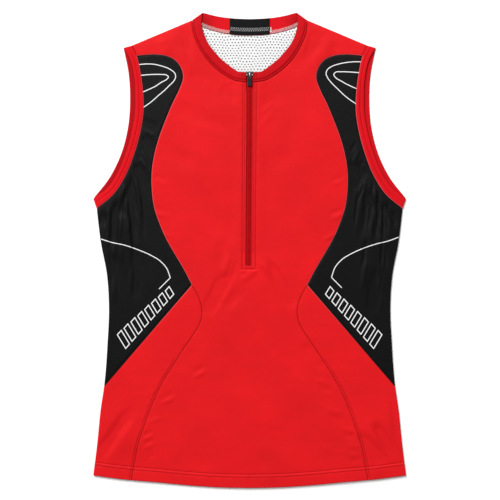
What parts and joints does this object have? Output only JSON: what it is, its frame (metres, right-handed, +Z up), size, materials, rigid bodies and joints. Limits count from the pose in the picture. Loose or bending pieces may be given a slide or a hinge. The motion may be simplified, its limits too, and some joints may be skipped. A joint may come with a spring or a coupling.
{
  "type": "cycling tank top",
  "caption": "Sleeveless cycling top with a half zip, bound neck and armholes, dark side panels and a mesh back, laid flat.",
  "frame": {"origin": "middle of the footprint, on the surface that the top lies on", "axes": "+X to the picture's right, +Y from the hem to the neck, +Z up from the surface, out of the front"},
  "size_m": [0.4598, 0.6989, 0.0063],
  "materials": {
    "red_jersey": "smooth knitted polyester",
    "black_jersey": "smooth knitted polyester",
    "white_mesh": "open knitted mesh",
    "red_binding": "folded knitted binding",
    "black_facing": "flat woven tape",
    "zip_tape": "woven tape over a nylon coil",
    "slider_metal": "dark enamel",
    "pull_metal": "dark enamel",
    "pull_rubber": "moulded, matt"
  },
  "bodies": {
    "garment": {"front_panel": "red_jersey", "back_panel": "white_mesh", "side_upper_left": "black_jersey", "side_upper_right": "black_jersey", "side_lower_left": "red_jersey", "side_lower_right": "red_jersey", "neckband": "red_binding", "neck_patch": "black_facing", "armhole_band_left": "red_binding", "armhole_band_right": "red_binding", "zip_tape_left": "zip_tape", "zip_tape_right": "zip_tape", "zip_slider": "slider_metal"},
    "pull_tab": {"pull_loop": "pull_metal", "pull_grip": "pull_rubber"}
  },
  "joints": [
    {"name": "pull_tab_hinge", "type": "hinge", "parent": "garment", "child": "pull_tab", "pos_m": [0, 0.2594, 0.0046], "axis": [-1, 0, 0], "range_deg": [0, 165]}
  ]
}
